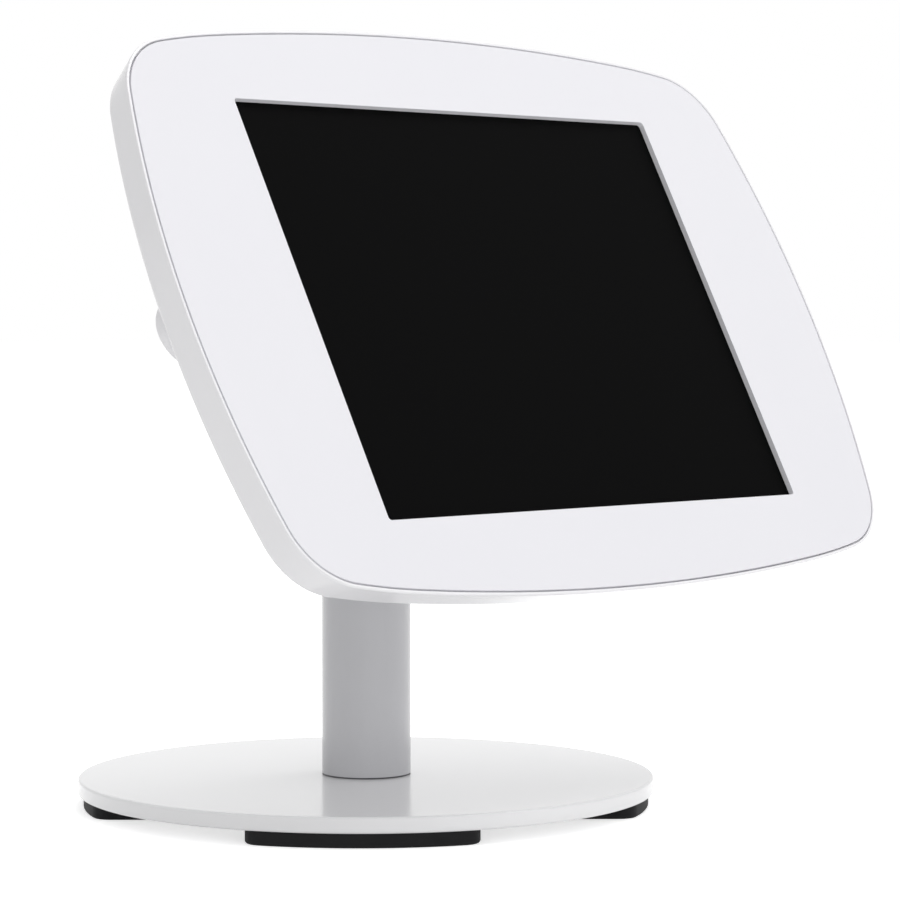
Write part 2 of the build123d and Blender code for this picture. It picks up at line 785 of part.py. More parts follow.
with BuildPart() as cam_screw:
    with BuildSketch(panel_plane(cam_front, lock_x)):
        Circle(cam_screw_head_radius)
    extrude(amount=cam_screw_head_height)
    with BuildSketch(panel_plane(cam_front, lock_x)):
        Circle(cam_screw_radius)
    extrude(amount=hole_clearance - cam_screw_length)
    with BuildSketch(panel_plane(cam_front - cam_screw_head_height, lock_x)):
        RegularPolygon(cam_screw_socket, 6)
    extrude(amount=-cam_screw_head_height / 2, mode=Mode.SUBTRACT)
save(cam_screw, "cam_screw")

# The keeper hangs behind the face plate and the cam turns in front of its lip
keeper_y = -cam_length - cam_gap
lip_front = cam_back + cam_gap
with BuildPart() as lock_keeper:
    section = Plane(
        panel.from_local_coords((lock_x - keeper_width / 2, 0, 0)), x_dir=panel.y_dir, z_dir=panel.x_dir
    )
    with BuildSketch(section):
        with BuildLine():
            Polyline(
                (keeper_y - keeper_foot_length, -plate_thickness),
                (keeper_y, -plate_thickness),
                (keeper_y, -lip_front),
                (keeper_y + keeper_lip_length, -lip_front),
                (keeper_y + keeper_lip_length, -lip_front - keeper_thickness),
                (keeper_y - keeper_thickness, -lip_front - keeper_thickness),
                (keeper_y - keeper_thickness, -plate_thickness - keeper_thickness),
                (keeper_y - keeper_foot_length, -plate_thickness - keeper_thickness),
                close=True,
            )
        make_face()
    extrude(amount=keeper_width)
save(lock_keeper, "lock_keeper")
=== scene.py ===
"""Countertop tablet kiosk: smooth pieces, finishes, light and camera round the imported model."""
import json
from math import acos, atan2, cos, hypot, pi, radians, sin, tan

import bmesh
import bpy
from mathutils import Matrix, Vector

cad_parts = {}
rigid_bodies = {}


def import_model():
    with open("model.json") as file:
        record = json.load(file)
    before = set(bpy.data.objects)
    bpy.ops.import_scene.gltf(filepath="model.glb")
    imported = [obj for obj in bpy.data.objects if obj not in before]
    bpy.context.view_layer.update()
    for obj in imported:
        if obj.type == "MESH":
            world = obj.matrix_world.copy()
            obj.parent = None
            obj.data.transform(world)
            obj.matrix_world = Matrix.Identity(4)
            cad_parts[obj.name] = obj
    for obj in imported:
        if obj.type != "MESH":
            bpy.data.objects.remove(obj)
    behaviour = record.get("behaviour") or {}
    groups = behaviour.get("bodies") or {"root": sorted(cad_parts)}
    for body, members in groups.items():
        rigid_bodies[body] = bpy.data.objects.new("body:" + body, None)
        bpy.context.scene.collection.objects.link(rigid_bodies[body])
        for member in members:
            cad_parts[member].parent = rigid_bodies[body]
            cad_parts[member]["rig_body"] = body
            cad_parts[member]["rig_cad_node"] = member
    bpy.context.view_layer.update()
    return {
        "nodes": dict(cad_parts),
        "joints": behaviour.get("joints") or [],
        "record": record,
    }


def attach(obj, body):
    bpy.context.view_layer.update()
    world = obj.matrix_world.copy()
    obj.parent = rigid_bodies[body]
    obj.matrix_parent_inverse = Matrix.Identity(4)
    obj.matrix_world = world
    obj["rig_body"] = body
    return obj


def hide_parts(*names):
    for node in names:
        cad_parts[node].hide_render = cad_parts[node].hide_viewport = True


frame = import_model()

# ---------------------------------------------------------------- sizes read from the frame

MM = 0.001
NODES = frame["nodes"]
JOINTS = {joint["name"]: joint for joint in frame["joints"]}
HAIR = 0.002 * MM
CLOSING_GAP = 0.02 * MM
X_AXIS = Vector((1, 0, 0))
Z_AXIS = Vector((0, 0, 1))
FRONT = Vector(JOINTS["face_plate_lift"]["axis"]).normalized()
UP_PANEL = FRONT.cross(X_AXIS)


def extent(node, direction):
    """Lowest and highest reach of a CAD node along a direction."""
    reaches = [vertex.co.dot(direction) for vertex in NODES[node].data.vertices]
    return min(reaches), max(reaches)


PANEL_FRONT = extent("face_plate", FRONT)[1]
PANEL_MIDDLE = sum(extent("face_plate", UP_PANEL)) / 2
PANEL_CENTRE = FRONT * PANEL_FRONT + UP_PANEL * PANEL_MIDDLE
LEAN = atan2(FRONT.z, -FRONT.y)
PANEL_TURN = Matrix((X_AXIS, UP_PANEL, FRONT)).transposed().to_4x4()
PANEL_MATRIX = Matrix.Translation(PANEL_CENTRE) @ PANEL_TURN

# Shared by several pieces: facets round circles, segments across roundings, how far a cutter
# reaches past what it cuts, and the angle up to which an edge is shaded smooth
LARGE_CIRCLE = 96
MIDDLE_CIRCLE = 48
SMALL_CIRCLE = 32
FINE_EDGE_SEGMENTS = 3
EDGE_SEGMENTS = 5
CUT_MARGIN = 1.0 * MM
SMOOTH_ANGLE = radians(32)

# Base disc and feet
DISC_STEPS = 256
BASE_EDGE_ROUND = 0.9 * MM
BASE_EDGE_SEGMENTS = 6
BASE_BORE_RADIUS = 9.02 * MM
NUT_RECESS_RADIUS = 14.75 * MM
NUT_RECESS_DEPTH = 2.5 * MM
FOOT_EDGE_INSET = 1.9 * MM
FOOT_WIDTH = 76.6 * MM
FOOT_DEPTH = 34.0 * MM
FOOT_CORNER_ROUND = 7.0 * MM
FOOT_BOTTOM_ROUND = 1.0 * MM
FOOT_RIM_STEPS = 40
FOOT_OUTER_CORNER_STEPS = 10
FOOT_INNER_CORNER_STEPS = 12
FOOT_HEADINGS = {"rear_right": 45, "rear_left": 135, "front_left": 225, "front_right": 315}

# Post
POST_BEND_RADIUS = 45.0 * MM
POST_BEND_STEPS = 28
POST_WALL = 1.5 * MM

# Enclosure outline and face plate
SIDE_BOW_RADIUS = 340.0 * MM
TOP_BOW_RADIUS = 950.4 * MM
SHOULDER_RADIUS = 279.4 * MM
SHOULDER_START = radians(5.8)
CORNER_RADIUS = 27.1 * MM
BOW_STEPS = 24
SHOULDER_STEPS = 8
CORNER_STEPS = 24
PLATE_INSET = 1.75 * MM
PLATE_THICKNESS = 2.0 * MM
PLATE_EDGE_ROUND = 0.15 * MM
PLATE_EDGE_SEGMENTS = 4
WINDOW_WIDTH = 197.0 * MM
WINDOW_HEIGHT = 148.8 * MM
WINDOW_CORNER = 1.2 * MM
WINDOW_CORNER_STEPS = 8
WINDOW_EDGE_ROUND = 0.15 * MM
STUD_RADIUS = 1.5 * MM
STUD_TIP_ROUND = STUD_RADIUS / 4
STUD_LENGTH = 7.0 * MM
CORNER_STUD = (129.0 * MM, 71.0 * MM)
MIDDLE_STUD = (55.0 * MM, 91.5 * MM)
STUD_PLACES = [
    (x_side * x, y_side * y)
    for x, y in (CORNER_STUD, MIDDLE_STUD)
    for x_side in (-1, 1)
    for y_side in (-1, 1)
]

# Rear shell, from the outermost line of its rim inwards and back
SHELL_DEPTH = 15.6 * MM
SHELL_BACK_INSET = 3.7 * MM
SHELL_BACK_ROUND = 3.0 * MM
SHELL_FRONT_ROUND = 0.7 * MM
DRAFT = atan2(SHELL_BACK_INSET, SHELL_DEPTH)
RIM_WIDTH = 1.15 * MM
RIM_OUTER_ROUND = 0.4 * MM
RIM_EDGE_ROUND = 0.12 * MM
LEDGE_DEPTH = 2.05 * MM
CAVITY_INSET = 3.2 * MM
FLOOR_DEPTH = 13.1 * MM
ROUND_STEPS = 8
RIB_PLACES = (58.0 * MM, 46.0 * MM)
RIB_THICKNESS = 1.4 * MM
RIB_HEIGHT = 2.2 * MM
RIB_LENGTHS = (169.5 * MM, 240.0 * MM)
SOCKET_RADIUS = 3.5 * MM
SOCKET_STAND = 9.5 * MM
SOCKET_BORE = 1.7 * MM
SOCKET_BOTTOM = 9.4 * MM
CABLE_HOLE_RADIUS = 12.0 * MM
HUB_SCREW_CIRCLE = 26.5 * MM
HUB_SCREW_PLACES = [
    (HUB_SCREW_CIRCLE * cos(turn), HUB_SCREW_CIRCLE * sin(turn))
    for turn in (pi / 4 + quarter * pi / 2 for quarter in range(4))
]
HUB_SCREW_HOLE = 2.25 * MM
HUB_SCREW_SEAT = 3.77 * MM
HUB_SCREW_SEAT_DEPTH = 1.75 * MM
BOSS_RADIUS = 12.7 * MM
BOSS_HEIGHT = 4.0 * MM
BOSS_ROUND = 0.8 * MM
LOCK_SEAT_RADIUS = 9.65 * MM
LOCK_SEAT_DEPTH = 1.8 * MM
LOCK_HOLE_RADIUS = 8.05 * MM
LOCK_HOLE_FLAT = 7.25 * MM

# Hub plate behind the shell
HUB_STEPS = 128
HUB_EDGE_ROUND = 1.5 * MM
HUB_EDGE_SEGMENTS = 8
TUBE_SEAT_RADIUS = 15.55 * MM
TUBE_END_DEPTH = 17.5 * MM
HUB_SCREW_BORE = 2.02 * MM
HUB_SCREW_END_DEPTH = 19.9 * MM

# Cover glass of the tablet
GLASS_CORNER = 8.08 * MM
GLASS_CORNER_STEPS = 14
GLASS_EDGE_ROUND = 0.15 * MM

# View, light and floor
VIEW_AIM = Vector((0.0205, -0.0209, 0.1189))
VIEW_HEADING = radians(45.62)
VIEW_DIP = radians(2.47)
VIEW_DISTANCE = 1.159
VIEW_LENS = 132.84
VIEW_SENSOR = 36.0
WORLD_LIGHT_LEFT = 0.48
WORLD_LIGHT_RIGHT = 0.66
KEY_PLACE = (0.9, -0.6, 2.7)
KEY_SIZE = 2.2
KEY_POWER = 35.5
FILL_PLACE = (-0.9, -1.85, 0.4)
FILL_SIZE = 1.4
FILL_POWER = 7.2
FLOOR_SIZE = 24.0
FLOOR_TONE = (0.9, 0.9, 0.9, 1)
FLOOR_LIFT = 0.62

# ---------------------------------------------------------------- materials


def socket(group, name, kind, into):
    """Add a named input or output socket to a shader node group."""
    return group.interface.new_socket(name=name, in_out=into, socket_type=kind)


PATCH_DETAIL = 3.0
GRAIN_DETAIL = 2.0


def make_surface_grain():
    """Two scales of noise: slow patches that shift tone and gloss, and a fine grain."""
    group = bpy.data.node_groups.new("surface_grain", "ShaderNodeTree")
    socket(group, "Light Tone", "NodeSocketColor", "INPUT")
    socket(group, "Dark Tone", "NodeSocketColor", "INPUT")
    socket(group, "Patch Scale", "NodeSocketFloat", "INPUT")
    socket(group, "Grain Scale", "NodeSocketFloat", "INPUT")
    socket(group, "Roughness Low", "NodeSocketFloat", "INPUT")
    socket(group, "Roughness High", "NodeSocketFloat", "INPUT")
    socket(group, "Color", "NodeSocketColor", "OUTPUT")
    socket(group, "Roughness", "NodeSocketFloat", "OUTPUT")
    socket(group, "Grain", "NodeSocketFloat", "OUTPUT")
    nodes = group.nodes
    links = group.links
    given = nodes.new("NodeGroupInput")
    result = nodes.new("NodeGroupOutput")
    place = nodes.new("ShaderNodeTexCoord")
    patch = nodes.new("ShaderNodeTexNoise")
    patch.inputs["Detail"].default_value = PATCH_DETAIL
    grain = nodes.new("ShaderNodeTexNoise")
    grain.inputs["Detail"].default_value = GRAIN_DETAIL
    blend = nodes.new("ShaderNodeMix")
    blend.data_type = "RGBA"
    gloss = nodes.new("ShaderNodeMapRange")
    for noise, scale in ((patch, "Patch Scale"), (grain, "Grain Scale")):
        links.new(place.outputs["Object"], noise.inputs["Vector"])
        links.new(given.outputs[scale], noise.inputs["Scale"])
    links.new(patch.outputs["Fac"], blend.inputs["Factor"])
    links.new(given.outputs["Light Tone"], blend.inputs["A"])
    links.new(given.outputs["Dark Tone"], blend.inputs["B"])
    links.new(patch.outputs["Fac"], gloss.inputs["Value"])
    links.new(given.outputs["Roughness Low"], gloss.inputs["To Min"])
    links.new(given.outputs["Roughness High"], gloss.inputs["To Max"])
    links.new(blend.outputs["Result"], result.inputs["Color"])
    links.new(gloss.outputs["Result"], result.inputs["Roughness"])
    links.new(grain.outputs["Fac"], result.inputs["Grain"])
    return group


SURFACE_GRAIN = make_surface_grain()


def make_finish(name, light, dark, patch, grain, rough, bump, metallic=0.0, specular=0.5):
    """A material on the shared grain group: two tones, two noise scales, gloss and bump in mm."""
    material = bpy.data.materials.new(name)
    material.use_nodes = True
    nodes = material.node_tree.nodes
    links = material.node_tree.links
    shader = nodes["Principled BSDF"]
    shader.inputs["Metallic"].default_value = metallic
    shader.inputs["Specular IOR Level"].default_value = specular
    texture = nodes.new("ShaderNodeGroup")
    texture.node_tree = SURFACE_GRAIN
    texture.inputs["Light Tone"].default_value = (*light, 1)
    texture.inputs["Dark Tone"].default_value = (*dark, 1)
    texture.inputs["Patch Scale"].default_value = patch
    texture.inputs["Grain Scale"].default_value = grain
    texture.inputs["Roughness Low"].default_value = rough[0]
    texture.inputs["Roughness High"].default_value = rough[1]
    relief = nodes.new("ShaderNodeBump")
    relief.inputs["Strength"].default_value = 1.0
    relief.inputs["Distance"].default_value = bump * MM
    links.new(texture.outputs["Color"], shader.inputs["Base Color"])
    links.new(texture.outputs["Roughness"], shader.inputs["Roughness"])
    links.new(texture.outputs["Grain"], relief.inputs["Height"])
    links.new(relief.outputs["Normal"], shader.inputs["Normal"])
    return material


FINISHES = {
    "white_steel": make_finish(
        "satin_powder_coat",
        light=(0.93, 0.93, 0.94),
        dark=(0.91, 0.91, 0.92),
        patch=22,
        grain=1500,
        rough=(0.15, 0.19),
        bump=0.003,
        specular=1.0,
    ),
    # Coat of the post and hub plate, grey as painted shade: darker than the base's white coat so
    # that the post shows the shade it gets under the enclosure
    "grey_steel": make_finish(
        "shade_painted_grey_coat",
        light=(0.53, 0.53, 0.55),
        dark=(0.505, 0.505, 0.525),
        patch=22,
        grain=1500,
        rough=(0.22, 0.28),
        bump=0.006,
        specular=0.9,
    ),
    "white_shell": make_finish(
        "satin_moulding",
        light=(0.94, 0.935, 0.955),
        dark=(0.92, 0.915, 0.935),
        patch=18,
        grain=2200,
        rough=(0.14, 0.18),
        bump=0.004,
    ),
    "white_face": make_finish(
        "matte_face_sheet",
        light=(0.86, 0.855, 0.89),
        dark=(0.84, 0.835, 0.875),
        patch=14,
        grain=2600,
        rough=(0.55, 0.62),
        bump=0.006,
    ),
    "black_rubber": make_finish(
        "matte_rubber",
        light=(0.012, 0.012, 0.013),
        dark=(0.008, 0.008, 0.009),
        patch=60,
        grain=1800,
        rough=(0.6, 0.75),
        bump=0.05,
        specular=0.2,
    ),
    "turned_steel": make_finish(
        "turned_steel",
        light=(0.56, 0.56, 0.57),
        dark=(0.48, 0.48, 0.5),
        patch=90,
        grain=1600,
        rough=(0.25, 0.4),
        bump=0.01,
        metallic=1,
    ),
    "zinc_steel": make_finish(
        "zinc_plate",
        light=(0.66, 0.67, 0.7),
        dark=(0.58, 0.59, 0.62),
        patch=120,
        grain=1400,
        rough=(0.28, 0.4),
        bump=0.008,
        metallic=1,
    ),
    "grey_acetal": make_finish(
        "bearing_plastic",
        light=(0.1, 0.1, 0.105),
        dark=(0.07, 0.07, 0.075),
        patch=50,
        grain=1500,
        rough=(0.45, 0.55),
        bump=0.01,
    ),
    "housing_aluminium": make_finish(
        "blasted_aluminium",
        light=(0.72, 0.73, 0.74),
        dark=(0.66, 0.67, 0.68),
        patch=60,
        grain=2400,
        rough=(0.35, 0.45),
        bump=0.01,
        metallic=1,
    ),
    "lock_chrome": make_finish(
        "satin_chrome",
        light=(0.78, 0.78, 0.79),
        dark=(0.7, 0.7, 0.72),
        patch=80,
        grain=1800,
        rough=(0.16, 0.26),
        bump=0.004,
        metallic=1,
    ),
    "black_glass": make_finish(
        "dark_screen",
        light=(0.0036, 0.0036, 0.0037),
        dark=(0.0032, 0.0032, 0.0033),
        patch=9,
        grain=900,
        rough=(0.5, 0.55),
        bump=0.0,
        specular=0.01,
    ),
    "display": make_finish(
        "display_laminate",
        light=(0.02, 0.02, 0.022),
        dark=(0.015, 0.015, 0.017),
        patch=20,
        grain=900,
        rough=(0.2, 0.3),
        bump=0.0,
    ),
    "battery": make_finish(
        "battery_pouch",
        light=(0.05, 0.05, 0.055),
        dark=(0.035, 0.035, 0.04),
        patch=70,
        grain=700,
        rough=(0.35, 0.5),
        bump=0.06,
    ),
    "circuit_board": make_finish(
        "solder_mask",
        light=(0.02, 0.1, 0.065),
        dark=(0.012, 0.07, 0.045),
        patch=400,
        grain=1600,
        rough=(0.25, 0.4),
        bump=0.02,
    ),
    "dark_foam": make_finish(
        "closed_cell_foam",
        light=(0.035, 0.035, 0.037),
        dark=(0.02, 0.02, 0.022),
        patch=90,
        grain=1300,
        rough=(0.8, 0.9),
        bump=0.12,
        specular=0.2,
    ),
}
SLOT_OF = {row["node"]: row["material_slot"] for row in frame["record"]["subparts"]}
BODIES = frame["record"]["behaviour"]["bodies"]
BODY_OF = {name: body for body, names in BODIES.items() for name in names}


# ---------------------------------------------------------------- modelling helpers


def deselect_all():
    """Nothing selected and no mode left open before an operator runs."""
    if bpy.context.object and bpy.context.object.mode != "OBJECT":
        bpy.ops.object.mode_set(mode="OBJECT")
    bpy.ops.object.select_all(action="DESELECT")


def activate(piece):
    """Make one piece the only selected and active object."""
    deselect_all()
    piece.select_set(True)
    bpy.context.view_layer.objects.active = piece


def open_piece(name):
    """Name the primitive just added, apply its place and open it in edit mode."""
    piece = bpy.context.object
    piece.name = name
    activate(piece)
    bpy.ops.object.transform_apply(location=True, rotation=True, scale=True)
    bpy.ops.object.mode_set(mode="EDIT")
    bpy.ops.mesh.select_mode(type="VERT")
    return piece


def select_part(piece, kind, wanted):
    """In edit mode, select only the faces, edges or vertices for which wanted(part) is true."""
    bpy.ops.mesh.select_mode(type=kind)
    bpy.ops.mesh.select_all(action="DESELECT")
    mesh = bmesh.from_edit_mesh(piece.data)
    for part in {"FACE": mesh.faces, "EDGE": mesh.edges, "VERT": mesh.verts}[kind]:
        part.select_set(bool(wanted(part)))
    bmesh.update_edit_mesh(piece.data)


def at_height(height):
    """A test for edges and flat faces that lie at a height."""
    return lambda part: all(abs(vertex.co.z - height) < HAIR for vertex in part.verts)


def push(x, y, z):
    """Extrude what is selected by a vector."""
    bpy.ops.mesh.extrude_region_move(TRANSFORM_OT_translate={"value": (x, y, z)})


def round_edges(piece, height, size, segments):
    """Round the edges of the piece that lie at a height."""
    select_part(piece, "EDGE", at_height(height))
    bpy.ops.mesh.bevel(offset=size, segments=segments, affect="EDGES")


def turn_about(centre, axis, angle, steps):
    """Extrude what is selected round an axis, anticlockwise for a positive angle."""
    bpy.ops.mesh.spin(steps=steps, angle=-angle, center=centre, axis=axis)


def apply_modifier(piece, kind, **settings):
    """Add one modifier with its settings and apply it."""
    activate(piece)
    modifier = piece.modifiers.new(kind.lower(), kind)
    for key, value in settings.items():
        setattr(modifier, key, value)
    bpy.ops.object.modifier_apply(modifier=modifier.name)


def settle(piece, body, material_slot, *replaced, place=None):
    """Put the piece in its place, close and smooth its mesh and hand it to its body."""
    deselect_all()
    if place:
        piece.matrix_world = place
    activate(piece)
    bpy.ops.object.transform_apply(location=True, rotation=True, scale=True)
    bpy.ops.object.mode_set(mode="EDIT")
    bpy.ops.mesh.select_all(action="SELECT")
    bpy.ops.mesh.remove_doubles(threshold=HAIR)
    bpy.ops.mesh.normals_make_consistent(inside=False)
    bpy.ops.object.mode_set(mode="OBJECT")
    bpy.ops.object.shade_smooth_by_angle(angle=SMOOTH_ANGLE)
    apply_modifier(piece, "WEIGHTED_NORMAL", mode="FACE_AREA", keep_sharp=True)
    piece.data.materials.clear()
    piece.data.materials.append(FINISHES[material_slot])
    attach(piece, body)
    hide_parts(*replaced)
    deselect_all()
    return piece


def smooth_copy(node, body):
    """A merged copy of a small CAD node, shaded smooth, that stands for it."""
    piece = NODES[node].copy()
    piece.data = NODES[node].data.copy()
    piece.name = node + "_smooth"
    piece.parent = None
    bpy.context.scene.collection.objects.link(piece)
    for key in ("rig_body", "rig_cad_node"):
        if key in piece:
            del piece[key]
    return settle(piece, body, SLOT_OF[node], node)


for name, node in NODES.items():
    node.data.materials.clear()
    node.data.materials.append(FINISHES[SLOT_OF[name]])
deselect_all()


# ---------------------------------------------------------------- base and feet


def make_base_disc():
    """Round steel disc with a rounded rim, a bore and a recess for the ring nut below."""
    bottom, top = extent("base_plate", Z_AXIS)
    radius = extent("base_plate", X_AXIS)[1]
    bpy.ops.mesh.primitive_cylinder_add(
        vertices=DISC_STEPS, radius=radius, depth=top - bottom, location=(0, 0, (top + bottom) / 2)
    )
    piece = open_piece("base_disc")
    for height in (bottom, top):
        round_edges(piece, height, BASE_EDGE_ROUND, BASE_EDGE_SEGMENTS)
    flat_radius = radius - BASE_EDGE_ROUND
    select_part(piece, "FACE", at_height(bottom))
    bpy.ops.mesh.inset(thickness=flat_radius - NUT_RECESS_RADIUS)
    push(0, 0, NUT_RECESS_DEPTH)
    bpy.ops.mesh.inset(thickness=NUT_RECESS_RADIUS - BASE_BORE_RADIUS)
    select_part(piece, "FACE", at_height(top))
    bpy.ops.mesh.inset(thickness=flat_radius - BASE_BORE_RADIUS)
    select_part(piece, "FACE", lambda face: len(face.verts) == DISC_STEPS)
    bpy.ops.mesh.bridge_edge_loops()
    return settle(piece, "base", "white_steel", "base_plate")


def make_feet():
    """One rubber foot under the edge of the base, modelled once and turned to four places."""
    bottom, top = extent("foot_front_left", Z_AXIS)
    reach = extent("base_plate", X_AXIS)[1] - FOOT_EDGE_INSET
    half_width = FOOT_WIDTH / 2
    inner_x = reach - FOOT_DEPTH
    corner = FOOT_CORNER_ROUND
    # centre of the outer corner's arc, inside both the rim and the straight side
    corner_y = half_width - corner
    corner_x = ((reach - corner) ** 2 - corner_y**2) ** 0.5
    rim_angle = atan2(corner_y, corner_x)
    bpy.ops.mesh.primitive_plane_add(size=1, location=(0, 0, 0))
    piece = open_piece("rubber_foot")
    bpy.ops.mesh.merge(type="CENTER")
    bpy.ops.transform.translate(value=(reach * cos(rim_angle), -reach * sin(rim_angle), bottom))
    outer_turn = pi / 2 - rim_angle
    turn_about((0, 0, bottom), (0, 0, 1), 2 * rim_angle, FOOT_RIM_STEPS)
    turn_about((corner_x, corner_y, bottom), (0, 0, 1), outer_turn, FOOT_OUTER_CORNER_STEPS)
    push(inner_x + corner - corner_x, 0, 0)
    turn_about((inner_x + corner, corner_y, bottom), (0, 0, 1), pi / 2, FOOT_INNER_CORNER_STEPS)
    push(0, -2 * corner_y, 0)
    turn_about((inner_x + corner, -corner_y, bottom), (0, 0, 1), pi / 2, FOOT_INNER_CORNER_STEPS)
    push(corner_x - inner_x - corner, 0, 0)
    turn_about((corner_x, -corner_y, bottom), (0, 0, 1), outer_turn, FOOT_OUTER_CORNER_STEPS)
    bpy.ops.mesh.select_all(action="SELECT")
    bpy.ops.mesh.remove_doubles(threshold=CLOSING_GAP)
    bpy.ops.mesh.select_all(action="SELECT")
    bpy.ops.mesh.edge_face_add()
    push(0, 0, top - bottom)
    bpy.ops.mesh.select_all(action="SELECT")
    bpy.ops.mesh.normals_make_consistent(inside=False)
    round_edges(piece, bottom, FOOT_BOTTOM_ROUND, EDGE_SEGMENTS)
    deselect_all()
    for place, heading in FOOT_HEADINGS.items():
        foot = piece.copy()
        foot.data = piece.data.copy()
        foot.name = "rubber_foot_" + place
        bpy.context.scene.collection.objects.link(foot)
        settle(
            foot,
            "base",
            "black_rubber",
            "foot_" + place,
            place=Matrix.Rotation(radians(heading), 4, "Z"),
        )
    bpy.data.objects.remove(piece)


# ---------------------------------------------------------------- post


def make_post():
    """One bent tube from the swivel up to the hub on the enclosure's back."""
    foot, top = extent("post_tube", Z_AXIS)
    radius = extent("post_tube", X_AXIS)[1]
    neck_end = extent("post_tube", FRONT)[1]
    turn = pi / 2 - LEAN
    # the neck's axis meets the post's axis at this height, on the enclosure's normal
    corner_height = PANEL_CENTRE.z + PANEL_CENTRE.y * tan(LEAN)
    bend_start = corner_height - POST_BEND_RADIUS * tan(turn / 2)
    bpy.ops.mesh.primitive_circle_add(vertices=LARGE_CIRCLE, radius=radius, location=(0, 0, foot))
    piece = open_piece("bent_post")
    push(0, 0, bend_start - foot)
    turn_about((0, -POST_BEND_RADIUS, bend_start), (1, 0, 0), turn, POST_BEND_STEPS)
    mesh = bmesh.from_edit_mesh(piece.data)
    bend_end = sum((vertex.co for vertex in mesh.verts if vertex.select), Vector()) / LARGE_CIRCLE
    push(*(FRONT * (neck_end - bend_end.dot(FRONT))))
    bpy.ops.mesh.select_all(action="SELECT")
    bpy.ops.mesh.normals_make_consistent(inside=False)
    bpy.ops.object.mode_set(mode="OBJECT")
    apply_modifier(piece, "SOLIDIFY", thickness=POST_WALL, offset=-1.0, use_even_offset=True)
    # the post's grey coat is painted shade, for the shade under the enclosure
    return settle(piece, "head", "grey_steel", "post_tube")


# ---------------------------------------------------------------- face plate and glass


def trace_outline(name, inset, height):
    """Closed outline of the enclosure in twelve tangent arcs, moved inwards by inset."""
    low, high = extent("face_plate", UP_PANEL)
    half_width = extent("face_plate", X_AXIS)[1] + PLATE_INSET
    half_height = (high - low) / 2 + PLATE_INSET
    side_x = half_width - SIDE_BOW_RADIUS
    top_y = half_height - TOP_BOW_RADIUS
    shoulder_x = (TOP_BOW_RADIUS - SHOULDER_RADIUS) * sin(SHOULDER_START)
    shoulder_y = top_y + (TOP_BOW_RADIUS - SHOULDER_RADIUS) * cos(SHOULDER_START)
    side_reach = SIDE_BOW_RADIUS - CORNER_RADIUS
    shoulder_reach = SHOULDER_RADIUS - CORNER_RADIUS
    # the corner's centre lies where circles about the centres of side and shoulder cross
    apart = hypot(shoulder_x - side_x, shoulder_y)
    along = (side_reach**2 - shoulder_reach**2 + apart**2) / (2 * apart)
    side_angle = atan2(shoulder_y, shoulder_x - side_x) + acos(along / side_reach)
    corner_x = side_x + side_reach * cos(side_angle)
    corner_y = side_reach * sin(side_angle)
    corner_angle = atan2(corner_y - shoulder_y, corner_x - shoulder_x)
    corner_turn = corner_angle - side_angle
    shoulder_turn = pi / 2 - SHOULDER_START - corner_angle
    arcs = []
    for quarter in range(4):
        flip_x = -1 if quarter in (1, 2) else 1
        flip_y = -1 if quarter in (2, 3) else 1
        quarter_arcs = [
            ((flip_x * side_x, 0, height), side_angle, BOW_STEPS),
            ((flip_x * corner_x, flip_y * corner_y, height), corner_turn, CORNER_STEPS),
            ((flip_x * shoulder_x, flip_y * shoulder_y, height), shoulder_turn, SHOULDER_STEPS),
            ((0, flip_y * top_y, height), SHOULDER_START, BOW_STEPS),
        ]
        arcs += quarter_arcs if quarter in (0, 2) else quarter_arcs[::-1]
    bpy.ops.mesh.primitive_plane_add(size=1, location=(0, 0, 0))
    piece = open_piece(name)
    bpy.ops.mesh.merge(type="CENTER")
    bpy.ops.transform.translate(value=(half_width - inset, 0, height))
    for centre, angle, steps in arcs:
        turn_about(centre, (0, 0, 1), angle, steps)
    bpy.ops.mesh.select_all(action="SELECT")
    bpy.ops.mesh.remove_doubles(threshold=CLOSING_GAP)
    bpy.ops.mesh.select_all(action="SELECT")
    bpy.ops.mesh.edge_face_add()
    return piece


def make_rounded_block(name, width, height, front, back, corner, steps):
    """A block with rounded corners, from a depth to a depth, in the enclosure's own frame."""
    bpy.ops.mesh.primitive_cube_add(
        size=1, location=(0, 0, (front + back) / 2), scale=(width, height, front - back)
    )
    piece = open_piece(name)
    select_part(piece, "EDGE", lambda edge: abs(edge.verts[0].co.z - edge.verts[1].co.z) > HAIR)
    bpy.ops.mesh.bevel(offset=corner, segments=steps, affect="EDGES")
    return piece


